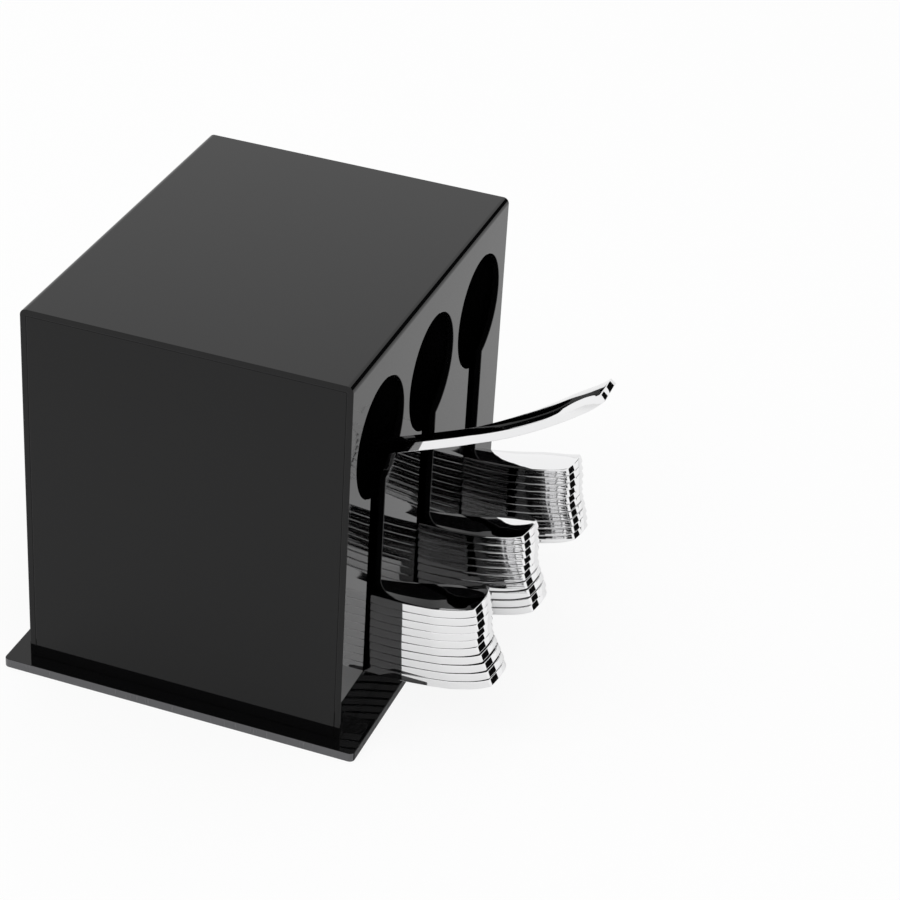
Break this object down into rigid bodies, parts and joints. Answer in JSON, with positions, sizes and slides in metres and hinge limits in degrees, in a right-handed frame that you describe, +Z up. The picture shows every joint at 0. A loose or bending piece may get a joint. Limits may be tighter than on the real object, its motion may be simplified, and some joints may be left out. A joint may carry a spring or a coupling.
{
  "type": "cutlery dispenser",
  "caption": "Acrylic countertop case on a wider base plate; forks lie in columns behind keyhole slots and leave one at a time through the round upper parts.",
  "frame": {"origin": "middle of the base plate's underside, on the surface that the dispenser stands on", "axes": "+Z up; -Y towards the user, out of the keyholes; +X to the user's right"},
  "size_m": [0.213, 0.263, 0.1905],
  "materials": {
    "case_acrylic": "cast acrylic sheet, high gloss, black",
    "base_acrylic": "cast acrylic sheet, high gloss, black, flame-polished edges",
    "fork_steel": "mirror-polished stainless steel"
  },
  "bodies": {
    "case": {"bent_sheet": "case_acrylic", "left_side_panel": "case_acrylic", "right_side_panel": "case_acrylic", "base_plate": "base_acrylic", "left_divider": "case_acrylic", "right_divider": "case_acrylic", "left_fork_1": "fork_steel", "left_fork_2": "fork_steel", "left_fork_3": "fork_steel", "left_fork_4": "fork_steel", "left_fork_5": "fork_steel", "left_fork_6": "fork_steel", "left_fork_7": "fork_steel", "left_fork_8": "fork_steel", "left_fork_9": "fork_steel", "middle_fork_1": "fork_steel", "middle_fork_2": "fork_steel", "middle_fork_3": "fork_steel", "middle_fork_4": "fork_steel", "middle_fork_5": "fork_steel", "middle_fork_6": "fork_steel", "middle_fork_7": "fork_steel", "middle_fork_8": "fork_steel", "middle_fork_9": "fork_steel", "right_fork_1": "fork_steel", "right_fork_2": "fork_steel", "right_fork_3": "fork_steel", "right_fork_4": "fork_steel", "right_fork_5": "fork_steel", "right_fork_6": "fork_steel", "right_fork_7": "fork_steel", "right_fork_8": "fork_steel", "right_fork_9": "fork_steel"},
    "left_top_fork": {"left_fork_10": "fork_steel"},
    "middle_top_fork": {"middle_fork_10": "fork_steel"},
    "right_top_fork": {"right_fork_10": "fork_steel"},
    "drawn_fork": {"drawn_fork": "fork_steel"}
  },
  "joints": [
    {"name": "left_lift", "type": "slide", "parent": "case", "child": "left_top_fork", "axis": [0, 0, 1], "range_m": [0, 0.008]},
    {"name": "middle_lift", "type": "slide", "parent": "case", "child": "middle_top_fork", "axis": [0, 0, 1], "range_m": [0, 0.08]},
    {"name": "right_lift", "type": "slide", "parent": "case", "child": "right_top_fork", "axis": [0, 0, 1], "range_m": [0, 0.08]},
    {"name": "fork_draw", "type": "slide", "parent": "case", "child": "drawn_fork", "axis": [-0.1034, -0.8615, 0.4971], "range_m": [0, 0.105]}
  ]
}
